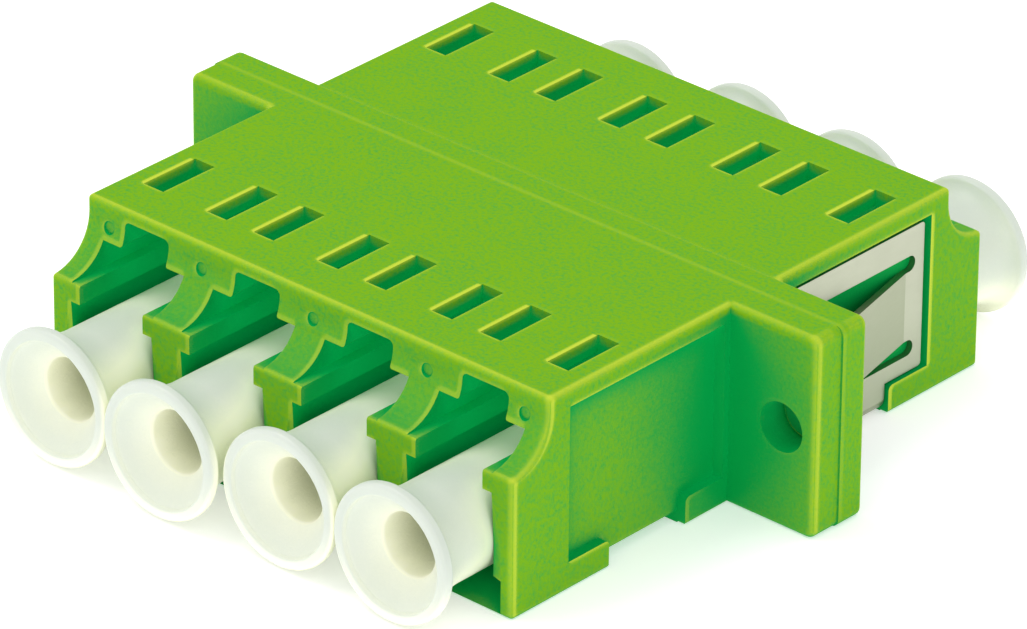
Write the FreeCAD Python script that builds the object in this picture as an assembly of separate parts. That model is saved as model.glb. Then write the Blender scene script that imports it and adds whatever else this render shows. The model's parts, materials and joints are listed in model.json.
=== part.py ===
import FreeCAD, Part
import math
import os
from FreeCAD import Vector as V

# Four-port LC fibre adapter: two mating housing halves, the inner sleeve mounts between them,
# four split ceramic sleeves, a spring clip for snapping into a panel, and eight dust caps.
#
# Frame, in millimetres: X along the row of ports, +Y towards the rear half, +Z up.
# The origin is the middle of the adapter on the plane of its underside. The two halves meet at Y = 0.
# A "reach" is a distance from that seam, the same for both halves.

# ---------------------------------------------------------------- driving sizes of the block
PORT_COUNT = 4
PORT_PITCH = 6.25            # standard LC duplex pitch
PLUG_BORE = 4.6              # square bore for the 4.5 mm plug body
BORE_FLOOR = 0.85            # height of the bores' floor above the underside
BODY_HEIGHT = 9.2
BODY_REACH = 14.5            # seam to the end face
END_WALL = 0.3               # body beyond the outer ports' half pitch, on each side
SWEEP_RADIUS = 2.15          # concave sweep from the end face up to the set-back upper face
EAR_REACH = 4.6              # front flange beyond the body, on each side
FLANGE_THICKNESS = 1.5       # of one half

PORT_X = [(i - (PORT_COUNT - 1) / 2) * PORT_PITCH for i in range(PORT_COUNT)]
HALF_BORE = PLUG_BORE / 2
AXIS_HEIGHT = BORE_FLOOR + HALF_BORE
BORE_TOP = BORE_FLOOR + PLUG_BORE
BODY_WIDTH = PORT_COUNT * PORT_PITCH + 2 * END_WALL
HALF_WIDTH = BODY_WIDTH / 2
TOP_REACH = BODY_REACH - SWEEP_RADIUS

# ---------------------------------------------------------------- ports
GUIDE_RIB_REACH = 0.5        # ribs between the plug body and its latch arm
GUIDE_RIB_HEIGHT = 0.85
GUIDE_RIB_TOP = BORE_TOP + GUIDE_RIB_HEIGHT
SHOULDER_HEIGHT = BORE_TOP + 2.1     # underside of the shoulders that hold the latch lugs
SHOULDER_EDGE = 0.12
SPINE_WIDTH = 2.5            # slot for the latch arm
SPINE_CORNER = 0.28
ROOF = 0.5                   # wall left above the slot
SPINE_TOP = BODY_HEIGHT - ROOF
LATCH_ROOM_START = 5.6       # reach at which the space for the latch begins

# windows through which the latch lugs show
WINDOW_WIDTH = 1.12
WINDOW_PAST_BORE = 0.07
WINDOW_OFFSET = HALF_BORE + WINDOW_PAST_BORE - WINDOW_WIDTH / 2
WINDOW_NEAR, WINDOW_FAR = 7.05, 10.1

# ---------------------------------------------------------------- port mouths
MOUTH_EXTRA = 0.52           # how much wider the mouth is on each side
MOUTH_CHAMFER = 0.14         # depth of the shallow side lead-in
MOUTH_FADE_START = AXIS_HEIGHT - 0.15    # the side lead-in narrows from here up
MOUTH_FADE_END = BORE_TOP - 0.2
FLOOR_RAMP_LENGTH = 2.1
FLOOR_RAMP_SIDE = BORE_FLOOR + 0.75      # top of the long lead-in's sides
FLOOR_LIP = 0.07
SIDE_OVERLAP = 0.4           # the side lead-in starts this far below the ramp's sides

# ejector marks between the ports
EJECTOR_RADIUS = 0.3
EJECTOR_DEPTH = 0.03         # at the top of the mark; deeper below, where the sweep curves out
EJECTOR_HEIGHT = BODY_HEIGHT - 1.1
EJECTOR_END_INSET = 1.3

# ---------------------------------------------------------------- outside of the halves
SWEEP_TOP = BODY_HEIGHT - 0.7        # height at which the concave sweep starts
BODY_EDGE = 0.2              # rounding of the outer edges
REAR_TOP_STEP = 0.03         # the rear half lies this much below its flange on top
REAR_EAR_EXTRA = 0.08        # the rear ears stand out this much further
EAR_CORNER = 0.4
EAR_EDGE = 0.25
SCREW_INSET = 1.8            # hole's middle to the end of the front ear
SCREW_X = HALF_WIDTH + EAR_REACH - SCREW_INSET
SCREW_HEIGHT = BODY_HEIGHT / 2
FRONT_SCREW_RADIUS = 1.12
REAR_SCREW_RADIUS = 1.05
POST_RADIUS = 0.5            # locating posts on the rear half, which enter the front half
POST_LENGTH = 0.9
POST_CLEARANCE = 0.05
POST_END_GAP = 0.1
POST_INSET = 1.9             # from the underside and from the top
POST_HEIGHTS = (POST_INSET, BODY_HEIGHT - POST_INSET)
POST_X = SCREW_X - 1.75

# ---------------------------------------------------------------- clip and its seat
SHEET = 0.3                  # thickness of the spring steel
BEND_INSIDE = 0.35
CLIP_GAP = 0.1               # between the clip's outline and its seat
SEAT_DEPTH = SHEET + 0.15    # side bay
SEAT_NEAR = FLANGE_THICKNESS + 0.4
SEAT_FAR = 11.05
SEAT_BOTTOM = 1.3
SEAT_TOP = BODY_HEIGHT - 0.9
SEAT_DRAFT = 0.1
SEAT_X = HALF_WIDTH - SEAT_DEPTH
CHANNEL_DEPTH = SHEET + 0.08         # recess across the underside
STRAP_NEAR, STRAP_FAR = 4.05, 8.7
HOOK_TOE, HOOK_HEEL, HOOK_CROWN = 0.15, 0.12, 0.25
PLATE_CORNER = 0.18
CLIP_BORDER = 0.55           # frame left beyond the tongue's free end
CLIP_SLOT = 0.72             # above and below the tongue
TONGUE_ROOT = SEAT_FAR - 0.7
TONGUE_TIP = SEAT_NEAR + 1.25
TONGUE_BOTTOM, TONGUE_TOP = SEAT_BOTTOM + 1.58, SEAT_TOP - 2.18
TONGUE_ANGLE = 12.5          # degrees outwards
TONGUE_CORNER = 0.35
TONGUE_OVERLAP = 0.04        # the turned tongue enters the plate by this much
ROOT_NECK = 0.3              # straight length where the slots' round ends meet the tongue

# ---------------------------------------------------------------- split sleeves
SLEEVE_LENGTH = 6.8
SLEEVE_OUTER = 0.81
SLEEVE_INNER = 0.623
SLEEVE_SLIT = 0.28
SLEEVE_EDGE = 0.06

# ---------------------------------------------------------------- inner sleeve mounts
MOUNT_PLATE = 1.2            # thickness of the plate behind the bores
MOUNT_MARGIN = 0.35          # ledge that holds the plate round the bores
MOUNT_CLEARANCE = 0.03
MOUNT_CORNER = 0.2
SLEEVE_ROOM = SLEEVE_OUTER + 0.03    # radius of the barrel's inside
SLEEVE_END_GAP = 0.05
LIP_RADIUS = 0.72            # keeps the sleeve in
LIP_START = SLEEVE_LENGTH / 2 + SLEEVE_END_GAP
BARREL_RADIUS = SLEEVE_ROOM + 0.51
BARREL_REACH = LIP_START + 0.85
BARREL_EDGE = 0.15
FERRULE_LEAD = 0.32          # chamfer that leads the ferrule in

# ---------------------------------------------------------------- dust caps
# each cap is pushed in by hand, so each stands out of its port a little differently
FRONT_CAP_STAND = (3.6, 3.8, 3.35, 3.5)
REAR_CAP_STAND = (3.6, 3.8, 3.65, 3.75)
CAP_STAND = 3.6              # by design
CAP_INNER_END = 2.6          # reach of the inner end at that stand
CAP_LENGTH = BODY_REACH + CAP_STAND - CAP_INNER_END
CAP_RIM_GAP = 0.15           # between neighbouring rims
CAP_RIM_RADIUS = (PORT_PITCH - CAP_RIM_GAP) / 2
CAP_RIM_FACE = 0.36          # width of the rim's rounding
CAP_RIM_STRAIGHT = 0.14
CAP_RING = 0.55              # rim ring, radially
CAP_RING_DEPTH = 0.14        # ring stands out of the funnel by this much
CAP_FUNNEL_STEP = 0.08
CAP_BARREL_RADIUS = HALF_BORE - 0.05
CAP_FLARE = 1.7              # rim's front to the start of the plain barrel
CAP_BORE_RADIUS = 1.4
CAP_BORE_DRAFT = 0.08
CAP_BORE_MOUTH = 1.2         # depth of the funnel
CAP_BORE_DEPTH = 9.0
CAP_SOCKET_RADIUS = BARREL_RADIUS + 0.15
CAP_SOCKET_DEPTH = BARREL_REACH - CAP_INNER_END + 0.9
CAP_END_TAPER, CAP_END_LEAD = 0.25, 0.4
CAP_SOCKET_LEAD = 0.3

SKIN = 0.001                 # cuts that end on a face pass it by this much
PAST = 1.0                   # cuts that run out of a face pass it by this much
SAME = 1e-6                  # two lengths closer than this are equal


def block(x0, x1, y0, y1, z0, z1):
    """A box between two opposite corners, in any order."""
    xa, xb = sorted((x0, x1))
    ya, yb = sorted((y0, y1))
    za, zb = sorted((z0, z1))
    return Part.makeBox(xb - xa, yb - ya, zb - za, V(xa, ya, za))


def rod(radius, start, end):
    """A cylinder from one point to another."""
    way = end - start
    return Part.makeCylinder(radius, way.Length, start, way)


def outline_face(items, place):
    """A flat face from corners; an item of three corners is an arc. place() turns a corner into a point."""
    edges, first, last = [], None, None
    for item in items:
        is_arc = isinstance(item[0], tuple)
        points = [place(*corner) for corner in item] if is_arc else [place(*item)]
        if last is not None and (last - points[0]).Length > SAME:
            edges.append(Part.makeLine(last, points[0]))
        if is_arc:
            edges.append(Part.Arc(*points).toShape())
        first = first or points[0]
        last = points[-1]
    if (last - first).Length > SAME:
        edges.append(Part.makeLine(last, first))
    return Part.Face(Part.Wire(edges))


def across(items, x0, x1, side):
    """Extrude an outline drawn in (reach, height) along X."""
    return outline_face(items, lambda reach, z: V(x0, side * reach, z)).extrude(V(x1 - x0, 0, 0))


def along(items, reach0, reach1, side):
    """Extrude an outline drawn in (x, height) away from the seam."""
    face = outline_face(items, lambda x, z: V(x, side * reach0, z))
    return face.extrude(V(0, side * (reach1 - reach0), 0))


def corner_arc(cx, cz, radius, start_deg, end_deg):
    """Start, middle and end of an arc round (cx, cz)."""
    angles = [math.radians(start_deg + k * (end_deg - start_deg)) for k in (0.0, 0.5, 1.0)]
    return tuple((cx + radius * math.cos(a), cz + radius * math.sin(a)) for a in angles)


def ruled(outline_a, outline_b):
    """A solid between two closed outlines with the same number of corners."""
    wires = [Part.makePolygon(list(o) + [o[0]]) for o in (outline_a, outline_b)]
    return Part.makeLoft(wires, True, True)


def rounded(shape, radius, chosen):
    return shape.makeFillet(radius, [e for e in shape.Edges if chosen(e)])


def span(edge, axis):
    """How far an edge reaches along axis 0, 1 or 2, as (low, high)."""
    b = edge.BoundBox
    return ((b.XMin, b.XMax), (b.YMin, b.YMax), (b.ZMin, b.ZMax))[axis]


def runs_along(edge, axis):
    low, high = span(edge, axis)
    return high - low > SAME


def lies_at(edge, axis, value):
    low, high = span(edge, axis)
    return abs(low - value) < 0.01 and abs(high - value) < 0.01


# ---------------------------------------------------------------- housing

def outer_body(side, top):
    profile = [
        (0, 0), (BODY_REACH, 0),
        corner_arc(BODY_REACH, SWEEP_TOP, SWEEP_RADIUS, 270, 180),
        (TOP_REACH, top), (0, top),
    ]
    body = across(profile, -HALF_WIDTH, HALF_WIDTH, side)
    return rounded(body, BODY_EDGE, lambda e: not lies_at(e, 1, 0) and not lies_at(e, 2, SWEEP_TOP))


def flange(side, half_width):
    face = side * FLANGE_THICKNESS
    plate = block(-half_width, half_width, 0, face, 0, BODY_HEIGHT)
    plate = rounded(plate, EAR_CORNER, lambda e: runs_along(e, 1))
    return rounded(plate, EAR_EDGE, lambda e: lies_at(e, 1, face))


def port_outline(x):
    """Bore, guide ribs, shoulders and spine slot of one port, in (x, height)."""
    h, r, s = HALF_BORE, HALF_BORE - GUIDE_RIB_REACH, SPINE_WIDTH / 2
    c, e = SPINE_CORNER, SHOULDER_EDGE
    return [
        (x - h, BORE_FLOOR), (x + h, BORE_FLOOR),
        (x + h, BORE_TOP), (x + r, BORE_TOP),
        (x + r, GUIDE_RIB_TOP), (x + h, GUIDE_RIB_TOP),
        (x + h, SHOULDER_HEIGHT),
        corner_arc(x + s + e, SHOULDER_HEIGHT + e, e, 270, 180),
        corner_arc(x + s - c, SPINE_TOP - c, c, 0, 90),
        corner_arc(x - s + c, SPINE_TOP - c, c, 90, 180),
        corner_arc(x - s - e, SHOULDER_HEIGHT + e, e, 360, 270),
        (x - h, SHOULDER_HEIGHT),
        (x - h, GUIDE_RIB_TOP), (x - r, GUIDE_RIB_TOP),
        (x - r, BORE_TOP), (x - h, BORE_TOP),
    ]


def mouth_side(x, hand, side):
    """Shallow lead-in on one side of a mouth, fading out upwards."""
    def wedge(extra, z):
        depth = MOUTH_CHAMFER * extra / MOUTH_EXTRA
        inner, outer = x + hand * (HALF_BORE - SKIN), x + hand * (HALF_BORE + extra)
        return [V(inner, side * (BODY_REACH - depth), z), V(outer, side * BODY_REACH, z),
                V(outer, side * (BODY_REACH + PAST), z), V(inner, side * (BODY_REACH + PAST), z)]
    foot = wedge(MOUTH_EXTRA, FLOOR_RAMP_SIDE - SIDE_OVERLAP)
    waist = wedge(MOUTH_EXTRA, MOUTH_FADE_START)
    tip = wedge(MOUTH_EXTRA / 10, MOUTH_FADE_END)
    return ruled(foot, waist).fuse(ruled(waist, tip))


def mouth_floor(x, side):
    """Long lead-in over the floor and the foot of the side walls."""
    def opening(half, floor, reach):
        return [V(x - half, side * reach, floor), V(x + half, side * reach, floor),
                V(x + half, side * reach, FLOOR_RAMP_SIDE), V(x - half, side * reach, FLOOR_RAMP_SIDE)]
    return ruled(opening(HALF_BORE + MOUTH_EXTRA, FLOOR_LIP, BODY_REACH + SKIN),
                 opening(HALF_BORE, BORE_FLOOR, BODY_REACH - FLOOR_RAMP_LENGTH))


def latch_window(x, hand, side):
    middle = x + hand * WINDOW_OFFSET
    return block(middle - WINDOW_WIDTH / 2, middle + WINDOW_WIDTH / 2, side * WINDOW_NEAR,
                 side * WINDOW_FAR, SHOULDER_HEIGHT - SKIN, BODY_HEIGHT + PAST)


def port_cuts(x, side):
    """Everything removed for one port."""
    cuts = [along(port_outline(x), LATCH_ROOM_START, BODY_REACH + PAST, side)]
    cuts.append(block(x - HALF_BORE, x + HALF_BORE, side * (MOUNT_PLATE - SKIN),
                      side * (LATCH_ROOM_START + SKIN), BORE_FLOOR, BORE_TOP))
    for hand in (-1, 1):
        cuts.append(latch_window(x, hand, side))
        cuts.append(mouth_side(x, hand, side))
    cuts.append(mouth_floor(x, side))
    return cuts


def ejector_marks(side):
    """Shallow dimples on the set-back face, between and beside the ports."""
    between = [(a + b) / 2 for a, b in zip(PORT_X, PORT_X[1:])]
    beside = [hand * (HALF_WIDTH - EJECTOR_END_INSET) for hand in (-1, 1)]
    return [rod(EJECTOR_RADIUS, V(x, side * (TOP_REACH - EJECTOR_DEPTH), EJECTOR_HEIGHT),
                V(x, side * BODY_REACH, EJECTOR_HEIGHT)) for x in between + beside]


def seat_cuts(side):
    """Recess for the spring clip: a wide bay on each side and a channel under the body."""
    crown = SEAT_BOTTOM - HOOK_CROWN
    foot = [
        (STRAP_NEAR - HOOK_TOE, -PAST), (STRAP_NEAR - HOOK_TOE, 0),
        corner_arc(STRAP_NEAR - HOOK_TOE, HOOK_TOE, HOOK_TOE, 270, 360),
        corner_arc(STRAP_NEAR - HOOK_CROWN, crown, HOOK_CROWN, 0, 90),
        (STRAP_NEAR - HOOK_CROWN, SEAT_BOTTOM + SKIN), (STRAP_FAR + HOOK_CROWN, SEAT_BOTTOM + SKIN),
        corner_arc(STRAP_FAR + HOOK_CROWN, crown, HOOK_CROWN, 90, 180),
        corner_arc(STRAP_FAR + HOOK_HEEL, HOOK_HEEL, HOOK_HEEL, 180, 270),
        (STRAP_FAR + HOOK_HEEL, -PAST),
    ]
    cuts = [block(-HALF_WIDTH - PAST, HALF_WIDTH + PAST, side * STRAP_NEAR, side * STRAP_FAR,
                  -PAST, CHANNEL_DEPTH)]
    for hand in (-1, 1):
        def bay(x, grow):
            near, far, top = SEAT_NEAR - grow, SEAT_FAR + grow, SEAT_TOP + grow
            return [V(x, side * near, SEAT_BOTTOM), V(x, side * far, SEAT_BOTTOM),
                    V(x, side * far, top), V(x, side * near, top)]
        cuts.append(ruled(bay(hand * SEAT_X, 0), bay(hand * (HALF_WIDTH + SKIN), SEAT_DRAFT)))
        cuts.append(across(foot, hand * SEAT_X, hand * (HALF_WIDTH + PAST), side))
        # the body's lower corner is rounded inside the clip's bend
        xc, zc = hand * (SEAT_X - BEND_INSIDE), CHANNEL_DEPTH + BEND_INSIDE
        corner = block(xc, hand * (SEAT_X + SKIN), side * STRAP_NEAR, side * STRAP_FAR,
                       CHANNEL_DEPTH - SKIN, zc)
        bend = rod(BEND_INSIDE, V(xc, side * (STRAP_NEAR - PAST), zc), V(xc, side * (STRAP_FAR + PAST), zc))
        cuts.append(corner.cut(bend))
    return cuts


def mount_outline(pair):
    """Low x, high x, bottom and top of the plate behind one pair of ports; pair is -1 or +1."""
    middle = pair * PORT_PITCH
    reach = PORT_PITCH / 2 + HALF_BORE + MOUNT_MARGIN
    return middle - reach, middle + reach, BORE_FLOOR - MOUNT_MARGIN, BORE_TOP + MOUNT_MARGIN


def housing_half(side):
    front = side < 0
    top = BODY_HEIGHT if front else BODY_HEIGHT - REAR_TOP_STEP
    half_flange = HALF_WIDTH + EAR_REACH + (0 if front else REAR_EAR_EXTRA)
    cuts = seat_cuts(side) + ejector_marks(side)
    for x in PORT_X:
        cuts += port_cuts(x, side)
    for pair in (-1, 1):
        x0, x1, z0, z1 = mount_outline(pair)
        cuts.append(block(x0, x1, -side * PAST, side * MOUNT_PLATE, z0, z1))
    hole = FRONT_SCREW_RADIUS if front else REAR_SCREW_RADIUS
    posts = []
    for hand in (-1, 1):
        def at(x, reach, z):
            return V(hand * x, side * reach, z)
        cuts.append(rod(hole, at(SCREW_X, -PAST, SCREW_HEIGHT), at(SCREW_X, FLANGE_THICKNESS + PAST, SCREW_HEIGHT)))
        for z in POST_HEIGHTS:
            if front:
                cuts.append(rod(POST_RADIUS + POST_CLEARANCE, at(POST_X, -PAST, z),
                                at(POST_X, POST_LENGTH + POST_END_GAP, z)))
            else:
                posts.append(rod(POST_RADIUS, at(POST_X, FLANGE_THICKNESS / 2, z), at(POST_X, -POST_LENGTH, z)))
    shell = outer_body(side, top).fuse(flange(side, half_flange)).cut(cuts)
    if posts:
        shell = shell.fuse(posts)
    return shell.removeSplitter()


# ---------------------------------------------------------------- inner parts

def sleeve_mount(side, pair):
    """Plate with two hollow barrels that hold the sleeves."""
    x0, x1, z0, z1 = mount_outline(pair)
    c = MOUNT_CLEARANCE
    mount = block(x0 + c, x1 - c, 0, side * MOUNT_PLATE, z0 + c, z1 - c)
    mount = rounded(mount, MOUNT_CORNER, lambda e: runs_along(e, 1))
    for x in PORT_X:
        if x * pair < 0:
            continue

        def at(reach):
            return V(x, side * reach, AXIS_HEIGHT)
        barrel = rod(BARREL_RADIUS, at(MOUNT_PLATE / 2), at(BARREL_REACH))
        barrel = barrel.makeChamfer(BARREL_EDGE, [e for e in barrel.Edges if lies_at(e, 1, side * BARREL_REACH)])
        mount = mount.fuse(barrel).cut([
            rod(SLEEVE_ROOM, at(-PAST), at(LIP_START)),
            rod(LIP_RADIUS, at(LIP_START - SKIN), at(BARREL_REACH + PAST)),
            Part.makeCone(LIP_RADIUS, LIP_RADIUS + FERRULE_LEAD, FERRULE_LEAD,
                          at(BARREL_REACH - FERRULE_LEAD), V(0, side, 0)),
        ])
    return mount.removeSplitter()


def split_sleeve(x):
    half = SLEEVE_LENGTH / 2
    near, far, past = V(x, -half, AXIS_HEIGHT), V(x, half, AXIS_HEIGHT), V(0, PAST, 0)
    tube = rod(SLEEVE_OUTER, near, far)
    tube = tube.makeChamfer(SLEEVE_EDGE, [e for e in tube.Edges if not runs_along(e, 1)])
    slit = block(x - SLEEVE_SLIT / 2, x + SLEEVE_SLIT / 2, -half - PAST, half + PAST,
                 AXIS_HEIGHT, AXIS_HEIGHT + SLEEVE_OUTER + PAST)
    return tube.cut([rod(SLEEVE_INNER, near - past, far + past), slit])


# ---------------------------------------------------------------- spring clip

def strap_section(x, z, radius, top):
    """U-shaped section of the strap under the body, from x outwards and z upwards."""
    return along([corner_arc(x - radius, z + radius, radius, 0, -90),
                  corner_arc(-x + radius, z + radius, radius, -90, -180),
                  (-x, top), (x, top)], STRAP_NEAR + CLIP_GAP, STRAP_FAR - CLIP_GAP, 1)


def tongue_slots(hand, near):
    """The gap round the tongue: two slots with round ends, joined at the tongue's free end."""
    r = CLIP_SLOT / 2
    low, high = TONGUE_BOTTOM - r, TONGUE_TOP + r
    end = TONGUE_ROOT - r
    inner, outer = hand * (SEAT_X - PAST), hand * (SEAT_X + SHEET + PAST)
    window = across([(near, TONGUE_BOTTOM - CLIP_SLOT),
                     corner_arc(end, low, r, -90, 0), corner_arc(end, high, r, 0, 90),
                     (near, TONGUE_TOP + CLIP_SLOT)], inner, outer, 1)
    root = across([(TONGUE_ROOT + PAST, TONGUE_BOTTOM), (TONGUE_ROOT + PAST, low),
                   corner_arc(end, low, r, 0, 90), (end - ROOT_NECK, TONGUE_BOTTOM),
                   (end - ROOT_NECK, TONGUE_TOP), corner_arc(end, high, r, -90, 0),
                   (TONGUE_ROOT + PAST, high)], inner, outer, 1)
    return window.cut(root)


def tongue(hand):
    """The sprung finger, turned outwards about a line at its root."""
    low, high, c = TONGUE_BOTTOM, TONGUE_TOP, TONGUE_CORNER
    pivot = TONGUE_ROOT - CLIP_SLOT / 2 - ROOT_NECK + TONGUE_OVERLAP
    tip = pivot - (pivot - TONGUE_TIP) / math.cos(math.radians(TONGUE_ANGLE))
    finger = across([(pivot + TONGUE_OVERLAP, low), (pivot + TONGUE_OVERLAP, high),
                     corner_arc(tip + c, high - c, c, 90, 180),
                     corner_arc(tip + c, low + c, c, 180, 270)], hand * SEAT_X, hand * (SEAT_X + SHEET), 1)
    finger.rotate(V(hand * SEAT_X, pivot, 0), V(0, 0, 1), hand * TONGUE_ANGLE)
    return finger


def spring_clip():
    """One folded sheet: a strap under the body, and a slotted plate with a sprung tongue on each side."""
    outer_x = SEAT_X + SHEET
    near, far = SEAT_NEAR + CLIP_GAP, SEAT_FAR - 1.5 * CLIP_GAP
    low, high = SEAT_BOTTOM + CLIP_GAP, SEAT_TOP - 1.5 * CLIP_GAP
    strap = strap_section(outer_x, CHANNEL_DEPTH - SHEET, BEND_INSIDE + SHEET, low + SHEET)
    clip = strap.cut(strap_section(SEAT_X, CHANNEL_DEPTH, BEND_INSIDE, low + PAST))
    for hand in (-1, 1):
        plate = block(hand * SEAT_X, hand * outer_x, near, far, low, high)
        plate = rounded(plate, PLATE_CORNER, lambda e: runs_along(e, 0))
        plate = plate.cut(tongue_slots(hand, near + CLIP_BORDER))
        clip = clip.fuse([plate, tongue(hand)])
    return clip.removeSplitter()


# ---------------------------------------------------------------- dust caps

def dust_cap(x, side, stand):
    """Trumpet-shaped plug: rim ring, funnel, blind bore, and a socket over the sleeve mount's barrel.

    Its half section is drawn in (radius, depth behind the rim's front)."""
    reach = BODY_REACH + stand
    rim, barrel, end = CAP_RIM_RADIUS, CAP_BARREL_RADIUS, CAP_LENGTH
    ring = rim - CAP_RING
    rim_back = CAP_RIM_FACE + CAP_RIM_STRAIGHT
    section = [
        (0, CAP_BORE_DEPTH), (CAP_BORE_RADIUS - CAP_BORE_DRAFT, CAP_BORE_DEPTH),
        (CAP_BORE_RADIUS, CAP_BORE_MOUTH),
        (ring - CAP_FUNNEL_STEP, CAP_RIM_FACE), (ring, CAP_RING_DEPTH), (ring + 0.06, 0.06),
        ((rim - 0.34, 0), (rim - 0.08, 0.1), (rim, CAP_RIM_FACE)),
        (rim, rim_back),
        ((rim - 0.12, rim_back + 0.16), (barrel + 0.2, rim_back + 0.5), (barrel, CAP_FLARE)),
        (barrel, end - CAP_END_LEAD), (barrel - CAP_END_TAPER, end),
        (CAP_SOCKET_RADIUS + 0.1, end), (CAP_SOCKET_RADIUS, end - CAP_SOCKET_LEAD),
        (CAP_SOCKET_RADIUS, end - CAP_SOCKET_DEPTH), (0, end - CAP_SOCKET_DEPTH),
    ]
    face = outline_face(section, lambda r, depth: V(x + r, side * (reach - depth), AXIS_HEIGHT))
    return face.revolve(V(x, 0, AXIS_HEIGHT), V(0, 1, 0), 360)


# ---------------------------------------------------------------- build and write

pieces = {
    "front_housing": housing_half(-1),
    "rear_housing": housing_half(1),
    "spring_clip": spring_clip(),
}
for side, half_name in ((-1, "front"), (1, "rear")):
    for pair, hand_name in ((-1, "left"), (1, "right")):
        pieces["%s_%s_sleeve_mount" % (half_name, hand_name)] = sleeve_mount(side, pair)
for i, x in enumerate(PORT_X):
    pieces["split_sleeve_%d" % (i + 1)] = split_sleeve(x)
    pieces["front_dust_cap_%d" % (i + 1)] = dust_cap(x, -1, FRONT_CAP_STAND[i])
    pieces["rear_dust_cap_%d" % (i + 1)] = dust_cap(x, 1, REAR_CAP_STAND[i])

os.makedirs("parts", exist_ok=True)
for name, shape in pieces.items():
    if len(shape.Solids) != 1 or not shape.isValid():
        raise ValueError("%s is not one valid solid" % name)
    solid = shape.Solids[0]
    if solid.Volume < 0:
        solid.reverse()
    solid.exportStep("parts/%s.step" % name)
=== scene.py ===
import json
import math

import bmesh
import bpy
from mathutils import Matrix, Vector


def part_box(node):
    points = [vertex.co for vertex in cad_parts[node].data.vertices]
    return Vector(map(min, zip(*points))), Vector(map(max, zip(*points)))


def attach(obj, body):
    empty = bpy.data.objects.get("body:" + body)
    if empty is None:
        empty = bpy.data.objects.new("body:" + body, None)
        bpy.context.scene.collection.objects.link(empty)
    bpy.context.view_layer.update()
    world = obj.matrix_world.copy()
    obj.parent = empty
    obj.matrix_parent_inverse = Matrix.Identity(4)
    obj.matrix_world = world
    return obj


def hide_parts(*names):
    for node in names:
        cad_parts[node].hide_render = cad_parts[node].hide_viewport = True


# The looks of a four-port LC fibre adapter with its dust caps in. Lengths are in metres.
# X runs along the ports, +Y to the rear half and +Z up. The halves meet at Y = 0.

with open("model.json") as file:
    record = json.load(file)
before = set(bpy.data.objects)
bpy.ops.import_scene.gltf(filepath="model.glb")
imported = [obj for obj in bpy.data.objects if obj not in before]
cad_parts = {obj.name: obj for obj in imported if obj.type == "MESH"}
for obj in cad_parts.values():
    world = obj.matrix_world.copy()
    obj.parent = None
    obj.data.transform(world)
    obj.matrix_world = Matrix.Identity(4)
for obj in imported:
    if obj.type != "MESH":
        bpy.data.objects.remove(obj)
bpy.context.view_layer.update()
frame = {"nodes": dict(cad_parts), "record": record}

MM = 0.001
CAP_NAMES = sorted(name for name in frame["nodes"] if "dust_cap" in name)
SLEEVE_NAMES = sorted(name for name in frame["nodes"] if name.startswith("split_sleeve"))
MOUNT_NAMES = sorted(name for name in frame["nodes"] if name.endswith("sleeve_mount"))
HOUSING_NAMES = ("front_housing", "rear_housing")
CLIP_NAME = "spring_clip"

WINDOW_NEAR, WINDOW_FAR = 7.05 * MM, 10.1 * MM      # a latch window's ends, out from the seam
WINDOW_ROW_END = 12.1 * MM                          # past the last window, out from the middle

MERGE_WITHIN = 0.0005 * MM                          # points this close are one
FLAT_WITHIN = math.radians(1.0)                     # faces this level are one
SHARP_FROM = math.radians(28)                       # edges that turn by more stay sharp
HOUSING_ROUNDING, CLIP_ROUNDING = 0.05 * MM, 0.03 * MM


# ---------------------------------------------------------------- shader expressions

class Value:
    """One socket of a material, so that shader maths reads as an expression."""

    def __init__(self, material, socket):
        self.material, self.socket = material, socket

    def maths(self, operation, *operands):
        return self.material.node(
            "ShaderNodeMath", {"operation": operation}, dict(enumerate(operands)))

    def __add__(self, other):
        return self.maths("ADD", self, other)

    def __sub__(self, other):
        return self.maths("SUBTRACT", self, other)

    def __rsub__(self, other):
        return self.maths("SUBTRACT", other, self)

    def __mul__(self, other):
        return self.maths("MULTIPLY", self, other)

    __radd__ = __add__

    def squared(self):
        return self * self

    def clamped(self):
        return self.material.node("ShaderNodeClamp", {}, {"Value": self})

    def ramp(self, low, high):
        """0 below low, 1 above high, smooth between them."""
        return self.material.node(
            "ShaderNodeMapRange", {"interpolation_type": "SMOOTHSTEP"},
            {"Value": self, "From Min": low, "From Max": high})

    def apart(self, near, far):
        """0 within near of zero on either side, 1 from far outwards."""
        return self.squared().ramp(near ** 2, far ** 2)


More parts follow.
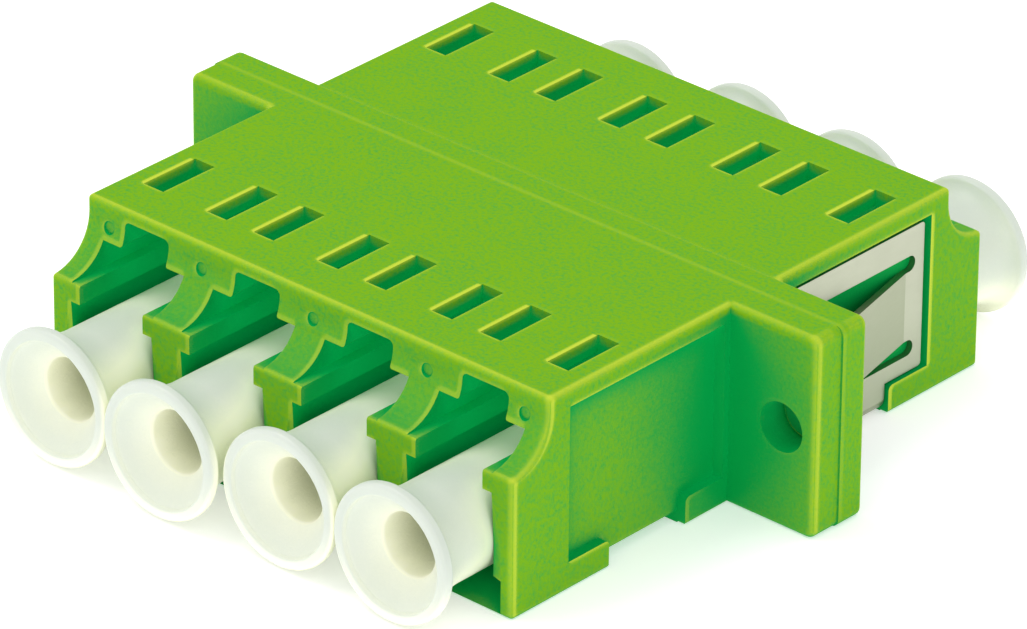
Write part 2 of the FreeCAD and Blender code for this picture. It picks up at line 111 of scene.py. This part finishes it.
class Finish:
    """A procedural material that reads object coordinates."""

    AO_SAMPLES = 8
    EDGE_LOOK = (-0.8, 0.67, 0)         # tips the look through the material to the front right
    EDGE_RANGE = (0.06, 0.30)           # share of that look which leaves the material

    def __init__(self, name, slot=None):
        self.data = bpy.data.materials.new(name)
        self.data.use_nodes = True
        self.tree = self.data.node_tree
        self.slot = slot
        self.shader = self.tree.nodes["Principled BSDF"]
        self.place = self.node("ShaderNodeTexCoord", {}, {}, "Object")

    def feed(self, socket, value):
        """Link a Value to a socket, or write a constant on it."""
        if isinstance(value, Value):
            self.tree.links.new(value.socket, socket)
        else:
            socket.default_value = value

    def node(self, kind, settings, sockets, output=0):
        """Add a node and give one of its outputs."""
        made = self.tree.nodes.new(kind)
        for key, value in settings.items():
            setattr(made, key, value)
        for key, value in sockets.items():
            self.feed(made.inputs[key], value)
        return Value(self, made.outputs[output])

    def noise(self, size, detail=2.0, roughness=0.5, stretch=(1, 1, 1)):
        """Cloudy pattern from 0 to 1 with features of about the given size."""
        where = self.node("ShaderNodeMapping", {}, {"Vector": self.place, "Scale": stretch})
        return self.node("ShaderNodeTexNoise", {"noise_dimensions": "3D"}, {
            "Vector": where, "Scale": 1 / size, "Detail": detail, "Roughness": roughness})

    def mix(self, factor, a, b):
        """Colour a where factor is 0 and colour b where it is 1."""
        factor_in, a_in, b_in, colour_out = 0, 6, 7, 2
        return self.node("ShaderNodeMix", {"data_type": "RGBA"},
                         {factor_in: factor, a_in: a, b_in: b}, colour_out)

    def facing(self, which="Normal"):
        return self.node("ShaderNodeNewGeometry", {}, {}, which)

    def tipped(self, towards):
        """The way a place faces, tipped towards a direction."""
        return self.node("ShaderNodeVectorMath", {"operation": "ADD"},
                         {0: self.facing(), 1: towards})

    def along(self, axis, vector=None):
        """One coordinate of the place on the piece, or of another vector."""
        return self.node("ShaderNodeSeparateXYZ", {}, {"Vector": vector or self.place}, axis)

    def upward(self):
        """1 on faces that look up, 0 on upright ones and below."""
        return self.along("Z", self.facing()).clamped()

    def openness(self, reach, lean=0.0, alone=False):
        """1 where nothing stands within reach, down to 0 deep in a hollow.

        lean tips the look round towards the sky; alone leaves other objects out."""
        return self.node(
            "ShaderNodeAmbientOcclusion", {"samples": self.AO_SAMPLES, "only_local": alone},
            {"Distance": reach, "Normal": self.tipped((0, 0, lean))}, "AO")

    def edge(self, reach):
        """1 along outer edges, sharp or rounded, fading to 0 over about the given reach.

        It looks through the material to the front right, so those edges come out strongest."""
        inside = self.node(
            "ShaderNodeAmbientOcclusion",
            {"samples": self.AO_SAMPLES, "inside": True, "only_local": True},
            {"Distance": reach, "Normal": self.tipped(self.EDGE_LOOK)}, "AO")
        return (1 - inside).ramp(*self.EDGE_RANGE)

    def bump(self, height, strength, distance):
        return self.node("ShaderNodeBump", {}, {
            "Height": height, "Strength": strength, "Distance": distance})

    def set(self, **sockets):
        """Feed the shader's own sockets, named with _ for each space."""
        for key, value in sockets.items():
            self.feed(self.shader.inputs[key.replace("_", " ")], value)


# ---------------------------------------------------------------- finishes

NO_GLOW = (0, 0, 0, 1)


def behind_windows(x, y):
    """1 in a strip just behind the +Y end of each latch window."""
    strip_middle, strip_half, fade, row_fade = 0.15 * MM, 0.2 * MM, 0.1 * MM, 0.2 * MM
    y = y - strip_middle
    # close to either row's +Y ends, this is the distance from them
    distance = (y + WINDOW_NEAR) * (y - WINDOW_FAR) * (1 / (WINDOW_NEAR + WINDOW_FAR))
    in_rows = 1 - x.apart(WINDOW_ROW_END, WINDOW_ROW_END + row_fade)
    return (1 - distance.apart(strip_half, strip_half + fade)) * in_rows


def moulded_green_painted_light(top, seat):
    """Fine-grained yellowish green moulding with painted light and shade: open places and faces
    that look up get a lit yellowish green, hollows a pure green as painted shade, the deepest
    hollows a lighter green and emission as painted fill light, and outer edges a painted
    highlight.

    top is the height of the upper face, seat half the width between the clip's plates."""
    # lit and shaded copies of the green as painted light and shade, the deepest shade lighter
    # again as painted fill light, and a painted edge highlight colour
    lit_green, edge_light = (0.188, 0.425, 0.006, 1), (0.54, 0.66, 0.050, 1)
    shade_green, lifted_shade_green = (0.0, 0.345, 0.066, 1), (0.0, 0.55, 0.125, 1)
    # painted fill light: a green emission deep in the bays, which are no lamp
    painted_glow, painted_glow_strength = (0.0, 1.0, 0.30, 1), 0.075
    tone, top_light, speckle, clouding = 0.85, 0.04, 1.9, 0.4
    bay_reach, crevice_reach, edge_reach = 7.0 * MM, 1.3 * MM, 0.26 * MM
    lip_low, lip_high = top - 0.5 * MM, top - 0.25 * MM
    seat_fade, clip_from, clip_full = 0.1 * MM, 0.5 * MM, 1.0 * MM
    seam_width, seam_fade = 0.2 * MM, 0.3 * MM
    light_on_seam, off_windows, off_ends = 0.2, 0.9, 0.6

    m = Finish("moulded_green_painted_light", "housing_plastic")
    x, y, z = m.along("X"), m.along("Y"), m.along("Z")
    faces_x, faces_y = m.along("X", m.facing()), m.along("Y", m.facing())
    cloud = m.noise(2.2 * MM, 3.0)
    speck = m.noise(0.17 * MM, 2.0, 0.7)
    grain = m.noise(0.12 * MM, 2.0, 0.6)

    # how open a place is: out of the ports and bays, out of crevices, and off the clip's seat;
    # open places get painted light and the rest painted shade
    bay = m.openness(bay_reach, 0.3, True)
    crevice = m.openness(crevice_reach, 0.6)
    # painted light: everything within about a quarter to half a millimetre of the top, the
    # upper band of the window walls too, counts as open and keeps the lit green, as if lit from
    # above
    lip = z.ramp(lip_low, lip_high)
    # painted shade: faces across X inside the clip's plates on the rear half, below the top
    # band, take the shaded green
    shade_under_clip = faces_x.squared() * (1 - x.apart(seat, seat + seat_fade))
    shade_under_clip = shade_under_clip * y.ramp(clip_from, clip_full) * (1 - lip)
    open_air = (bay.ramp(0.73, 1.0) + lip).clamped() * crevice.ramp(0.4, 0.8)
    open_air = open_air * (1 - shade_under_clip)

    # the lit green as painted light and the pure green as painted shade, mixed by openness and
    # by facing up, and a painted highlight line near the outer edges
    mottle = (speck - 0.5) * speckle + (cloud - 0.5) * clouding
    # painted light: faces that look up get more of the lit green; the mottle is the moulding's
    # own speckle and clouding
    yellow = open_air * (tone + m.upward() * top_light + mottle)
    # painted shade in the hollows, lighter again deep in the bays as painted fill light
    hollow = m.mix(bay.ramp(0.1, 0.6), lifted_shade_green, shade_green)
    green = m.mix(yellow.clamped(), hollow, lit_green)
    past_seam = y.apart(seam_width, seam_width + seam_fade)
    # painted highlight along the outer edges, weaker at the seam, behind the windows' far ends
    # and on faces that look along Y
    light = m.edge(edge_reach) * open_air * (past_seam * (1 - light_on_seam) + light_on_seam)
    light = light * (1 - behind_windows(x, y) * off_windows)
    light = light * (1 - faces_y.squared() * off_ends)
    # painted fill light: emission deep in the bays, away from tight crevices
    painted_fill_mask = (1 - bay.ramp(0.25, 0.6)) * crevice.ramp(0.15, 0.6)

    m.set(Base_Color=m.mix(light, green, edge_light), Roughness=0.6 + speck * 0.14,
          Normal=m.bump(grain, 0.35, 0.02 * MM), Specular_IOR_Level=0.05)
    m.set(Emission_Color=m.mix(painted_fill_mask, NO_GLOW, painted_glow), Emission_Strength=painted_glow_strength)
    return m


def inner_green():
    """Plainer green moulding of the parts between the halves."""
    dark, light = (0.01, 0.26, 0.04, 1), (0.03, 0.33, 0.05, 1)
    m = Finish("inner_green", "mount_plastic")
    cloud = m.noise(1.5 * MM)
    grain = m.noise(0.15 * MM)
    m.set(Base_Color=m.mix(cloud, dark, light), Roughness=0.4 + grain * 0.12,
          Normal=m.bump(grain, 0.2, 0.01 * MM))
    return m


def sleeve_ceramic():
    """Polished white zirconia with faint grinding marks round it."""
    grey, white = (0.86, 0.85, 0.80, 1), (0.92, 0.91, 0.87, 1)
    round_it = (0.2, 4.0, 0.2)
    m = Finish("sleeve_ceramic", "sleeve_ceramic")
    marks = m.noise(0.05 * MM, stretch=round_it)
    m.set(Base_Color=m.mix(m.noise(1.0 * MM), grey, white), Roughness=0.12 + marks * 0.08,
          Normal=m.bump(marks, 0.1, 0.004 * MM))
    return m


def spring_steel():
    """Satin sheet with rolling marks along it, with painted shade where it leans out of the
    side plates.
    """
    dark, light, shaded_tongue = (0.41, 0.43, 0.33, 1), (0.48, 0.50, 0.39, 1), (0.33, 0.36, 0.25, 1)
    along_it = (1.0, 0.12, 1.0)
    m = Finish("spring_steel", "clip_steel")
    rolled = m.noise(0.12 * MM, 3.0, 0.6, along_it)
    sheet = m.mix(m.noise(2.5 * MM), dark, light)
    # painted shade: darker where the sheet faces away from X, on the turned-out tongue
    upright = m.along("X", m.facing("True Normal")).squared().ramp(0.94, 0.998)
    m.set(Base_Color=m.mix(upright, shaded_tongue, sheet), Metallic=1.0, Roughness=0.30 + rolled * 0.16,
          Normal=m.bump(rolled, 0.25, 0.01 * MM))
    return m


def cap_polythene():
    """Milky, slightly translucent natural polythene, yellower and lighter where surfaces stand
    close as painted bounce light, with painted shade in the bore and emission as painted fill
    light close by outside it.
    """
    cool_milk, white_milk = (0.60, 0.66, 0.59, 1), (0.65, 0.70, 0.64, 1)
    painted_bounce, bore_shade = (0.98, 0.98, 0.79, 1), (0.50, 0.54, 0.36, 1)
    painted_glow, painted_glow_strength = (1.0, 1.0, 0.80, 1), 0.10
    m = Finish("cap_polythene", "cap_plastic")
    cloud = m.noise(1.8 * MM)
    skin = m.noise(0.3 * MM)
    air = m.openness(3.5 * MM)
    open_air, out_of_bore = air.ramp(0.45, 1.0), air.ramp(0.08, 0.4)
    # painted bounce light: yellower and lighter where surfaces stand close; the milk's own tone
    # varies in clouds
    tone = m.mix(open_air, painted_bounce, m.mix(cloud, cool_milk, white_milk))
    # painted shade: a dull tan deep in the bore
    m.set(Base_Color=m.mix(out_of_bore, bore_shade, tone), Roughness=0.34 + cloud * 0.12,
          Normal=m.bump(skin, 0.08, 0.02 * MM), Specular_IOR_Level=0.4)
    # painted fill light: emission where surfaces stand close, outside the bore
    m.set(Emission_Color=m.mix((1 - open_air) * out_of_bore, NO_GLOW, painted_glow),
          Emission_Strength=painted_glow_strength)
    m.set(Subsurface_Weight=0.25, Subsurface_Radius=(1.0, 1.0, 0.8), Subsurface_Scale=0.8 * MM)
    return m


def white_paper():
    """Bright, shineless ground, cloudy over a few centimetres."""
    grey, white, lit = (0.93, 0.93, 0.93, 1), (0.95, 0.95, 0.95, 1), (1, 1, 1, 1)
    m = Finish("white_paper")
    m.set(Base_Color=m.mix(m.noise(50 * MM), grey, white), Roughness=0.9,
          Specular_IOR_Level=0.0, Emission_Color=lit, Emission_Strength=0.4)
    return m


def dress(obj, finish):
    obj.data.materials.clear()
    obj.data.materials.append(finish.data)


# ---------------------------------------------------------------- pieces

def placed(name, bm, finish):
    """An object from a bmesh, finished and in the scene."""
    mesh = bpy.data.meshes.new(name)
    bm.to_mesh(mesh)
    bm.free()
    obj = bpy.data.objects.new(name, mesh)
    bpy.context.scene.collection.objects.link(obj)
    dress(obj, finish)
    return obj


def piece(name, bm, body, nodes, finish):
    """A placed object that rides with a body and stands for the named nodes."""
    obj = placed(name, bm, finish)
    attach(obj, body)
    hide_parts(*nodes)
    return obj


def body_of(node):
    bodies = frame["record"]["behaviour"]["bodies"]
    return next(body for body, members in bodies.items() if node in members)


def smoothed(node, finish, rounding):
    """A merged copy of a node, shaded evenly across its curved faces.

    Blender holds the rounding back to what the narrowest face leaves room for."""
    bm = bmesh.new()
    bm.from_mesh(frame["nodes"][node].data)
    bmesh.ops.remove_doubles(bm, verts=bm.verts, dist=MERGE_WITHIN)
    bmesh.ops.dissolve_limit(bm, angle_limit=FLAT_WITHIN, verts=bm.verts, edges=bm.edges,
                             use_dissolve_boundaries=False)
    for face in bm.faces:
        face.smooth = True
    obj = piece(node + "_smoothed", bm, body_of(node), [node], finish)
    obj.data.set_sharp_from_angle(angle=SHARP_FROM)
    bevel = obj.modifiers.new("edge_rounding", "BEVEL")
    bevel.offset_type = "WIDTH"
    bevel.width = rounding
    bevel.segments = 2
    bevel.limit_method = "ANGLE"
    bevel.angle_limit = SHARP_FROM
    bevel.miter_outer = "MITER_ARC"
    shading = obj.modifiers.new("even_shading", "WEIGHTED_NORMAL")
    shading.keep_sharp = True


def cap_section(rim, length):
    """Half section of a dust cap: radius, depth behind the rim and rounding of each corner."""
    ring = rim - 0.55 * MM
    barrel, bore, bore_depth, funnel = 2.25 * MM, 1.4 * MM, 9.0 * MM, 1.2 * MM
    mouth, socket, socket_depth = 1.6 * MM, 1.5 * MM, 2.6 * MM
    return [
        # blind bore and funnel
        (0, bore_depth, 0), (bore - 0.08 * MM, bore_depth, 0.1 * MM), (bore, funnel, 0.12 * MM),
        (ring - 0.10 * MM, 0.30 * MM, 0.06 * MM),
        # groove, rim ring and flare
        (ring, 0.22 * MM, 0.02 * MM), (ring + 0.06 * MM, 0.04 * MM, 0.03 * MM),
        (ring + 0.12 * MM, 0, 0.03 * MM), (rim - 0.12 * MM, 0, 0.05 * MM),
        (rim, 0.1 * MM, 0.08 * MM), (rim, 0.48 * MM, 0.1 * MM),
        (barrel + 0.42 * MM, 0.72 * MM, 0.3 * MM), (barrel, 1.6 * MM, 0.8 * MM),
        # barrel and the socket in its inner end
        (barrel, length - 0.4 * MM, 0.1 * MM), (barrel - 0.25 * MM, length, 0.08 * MM),
        (mouth, length, 0.03 * MM), (socket, length - 0.3 * MM, 0.03 * MM),
        (socket, length - socket_depth, 0.03 * MM), (0, length - socket_depth, 0),
    ]


def dust_cap(node, finish):
    """Trumpet-shaped cap, turned round its port's axis."""
    low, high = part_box(node)
    middle = (low + high) / 2
    side = -1 if node.startswith("front") else 1
    rim_place = high.y if side > 0 else low.y
    section = cap_section((high.x - low.x) / 2, high.y - low.y)
    bm = bmesh.new()
    corners = [bm.verts.new((radius, 0, depth)) for radius, depth, _ in section]
    for a, b in zip(corners, corners[1:]):
        bm.edges.new((a, b))
    for corner, (_, _, rounding) in zip(corners, section):
        if rounding:
            bmesh.ops.bevel(bm, geom=[corner], offset=rounding, offset_type="OFFSET",
                            segments=5, profile=0.5, affect="VERTICES", material=-1)
    bmesh.ops.spin(bm, geom=list(bm.verts) + list(bm.edges), axis=(0, 0, 1), cent=(0, 0, 0),
                   angle=2 * math.pi, steps=96, use_merge=True)
    bmesh.ops.remove_doubles(bm, verts=bm.verts, dist=MERGE_WITHIN)
    turn = Matrix.Rotation(math.pi / 2 * side, 4, "X")
    shift = Matrix.Translation((middle.x, rim_place, middle.z))
    bmesh.ops.transform(bm, matrix=shift @ turn, verts=bm.verts)
    bmesh.ops.recalc_face_normals(bm, faces=bm.faces)
    for face in bm.faces:
        face.smooth = True
    piece(node + "_turned", bm, body_of(node), [node], finish)


# ---------------------------------------------------------------- put together

def clip_seat():
    """Half the width between the clip's side plates, above its strap."""
    low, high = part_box(CLIP_NAME)
    points = [vertex.co for vertex in frame["nodes"][CLIP_NAME].data.vertices]
    return min(abs(p.x) for p in points if p.z > (low.z + high.z) / 2)


def dressed_adapter():
    green = moulded_green_painted_light(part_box("front_housing")[1].z, clip_seat())
    inner, ceramic = inner_green(), sleeve_ceramic()
    steel, polythene = spring_steel(), cap_polythene()
    for name in HOUSING_NAMES:
        smoothed(name, green, HOUSING_ROUNDING)
    for name in MOUNT_NAMES:
        dress(frame["nodes"][name], inner)
    for name in SLEEVE_NAMES:
        dress(frame["nodes"][name], ceramic)
    smoothed(CLIP_NAME, steel, CLIP_ROUNDING)
    for name in CAP_NAMES:
        dust_cap(name, polythene)


# ---------------------------------------------------------------- floor, light and camera

def floor():
    bm = bmesh.new()
    bmesh.ops.create_grid(bm, x_segments=1, y_segments=1, size=1.5)
    obj = placed("floor", bm, white_paper())


def softbox(name, place, size, power, colour=(1, 1, 1)):
    """A round area light that faces the object."""
    lamp = bpy.data.lights.new(name, "AREA")
    lamp.shape = "DISK"
    lamp.size = size
    lamp.energy = power
    lamp.color = colour
    obj = bpy.data.objects.new(name, lamp)
    aim = Vector(place).to_track_quat("Z", "Y").to_matrix().to_4x4()
    obj.matrix_world = Matrix.Translation(place) @ aim
    bpy.context.scene.collection.objects.link(obj)


def daylight(strength):
    """Even white light from all round."""
    world = bpy.data.worlds.new("studio")
    world.use_nodes = True
    background = world.node_tree.nodes["Background"]
    background.inputs["Color"].default_value = (1, 1, 1, 1)
    background.inputs["Strength"].default_value = strength
    bpy.context.scene.world = world


def camera():
    """A long lens from the front right, a little above the adapter."""
    turn, rise, roll = (math.radians(angle) for angle in (41.967, 28.424, 0.488))
    aside, above, away = -0.186 * MM, 2.990 * MM, 363.54 * MM
    back = Vector((math.sin(turn) * math.cos(rise),
                   -math.cos(turn) * math.cos(rise),
                   math.sin(rise)))
    level = Vector((math.cos(turn), math.sin(turn), 0))
    upright = back.cross(level)
    right = math.cos(roll) * level + math.sin(roll) * upright
    up = math.cos(roll) * upright - math.sin(roll) * level
    place = right * aside + up * above + back * away
    lens = bpy.data.cameras.new("camera")
    lens.sensor_width = 36
    lens.lens = 306.0
    lens.clip_start = 0.01
    obj = bpy.data.objects.new("camera", lens)
    axes = Matrix((right, up, back)).transposed().to_4x4()
    obj.matrix_world = Matrix.Translation(place) @ axes
    bpy.context.scene.collection.objects.link(obj)
    bpy.context.scene.camera = obj


dressed_adapter()
floor()
daylight(strength=0.83)
softbox("key", place=(-0.25, -0.10, 0.55), size=0.35, power=1.25, colour=(1.0, 0.98, 0.94))
softbox("fill", place=(0.55, -0.35, 0.25), size=0.40, power=0.5)
camera()
bpy.context.scene.view_settings.view_transform = "Standard"
bpy.context.scene.view_settings.look = "None"
